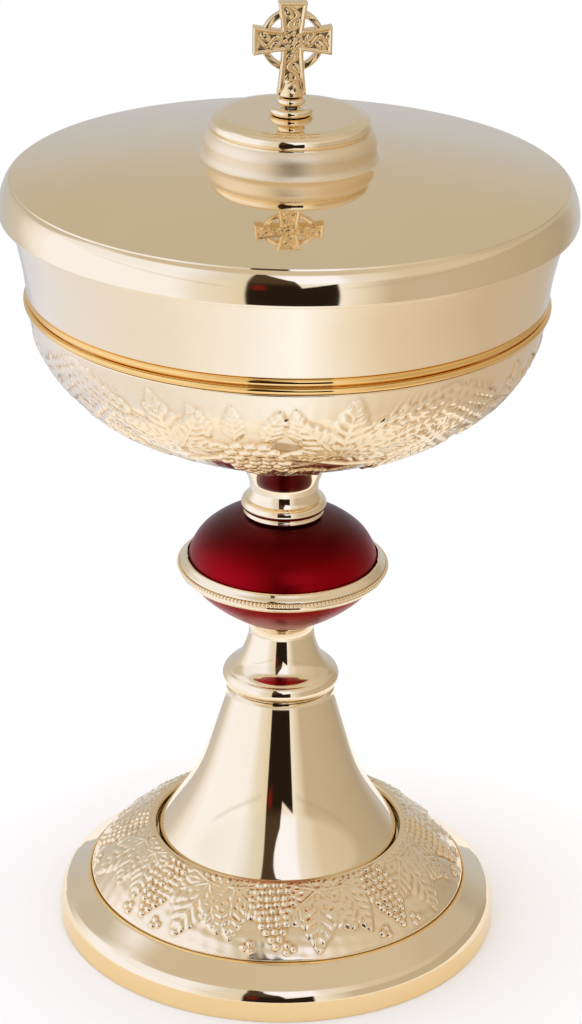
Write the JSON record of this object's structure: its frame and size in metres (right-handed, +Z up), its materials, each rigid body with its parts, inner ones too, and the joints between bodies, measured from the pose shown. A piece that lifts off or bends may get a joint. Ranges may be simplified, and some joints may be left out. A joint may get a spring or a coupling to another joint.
{
  "type": "covered ciborium",
  "caption": "Covered gilt cup on a stem with a red knop and a round embossed foot, with a lift-off domed lid topped by a ringed cross.",
  "frame": {"origin": "centre of the foot's resting circle, on the surface it stands on", "axes": "+Z up along the vessel's turned axis, -Y towards the front, where the cross faces to within a few degrees"},
  "size_m": [0.1504, 0.1504, 0.2633],
  "materials": {
    "gilt": "polished",
    "embossed_gilt": "satin",
    "red_lacquer": "satin",
    "plated_steel": "brushed"
  },
  "bodies": {
    "vessel": {"foot_base": "gilt", "foot_deck": "gilt", "foot_band": "embossed_gilt", "foot_cone": "gilt", "foot_clamp_plate": "gilt", "foot_washer": "plated_steel", "foot_nut": "plated_steel", "lower_collar": "gilt", "knop_upper_shell": "red_lacquer", "knop_lower_shell": "red_lacquer", "knop_girdle": "gilt", "knop_bead_wire": "gilt", "knop_core_tube": "gilt", "upper_collar": "gilt", "tie_rod": "plated_steel", "cup_sheath": "embossed_gilt", "sheath_rim": "gilt", "cup_bowl": "gilt", "cup_boss": "gilt"},
    "lid": {"lid_shell": "gilt", "lid_seat_ring": "gilt", "finial_flange": "gilt", "finial_ball": "gilt", "celtic_cross": "gilt", "finial_stud": "plated_steel", "finial_washer": "plated_steel", "finial_nut": "plated_steel"}
  },
  "joints": [
    {"name": "lid_lift", "type": "slide", "parent": "vessel", "child": "lid", "axis": [0, 0, 1], "range_m": [0, 0.09]}
  ]
}
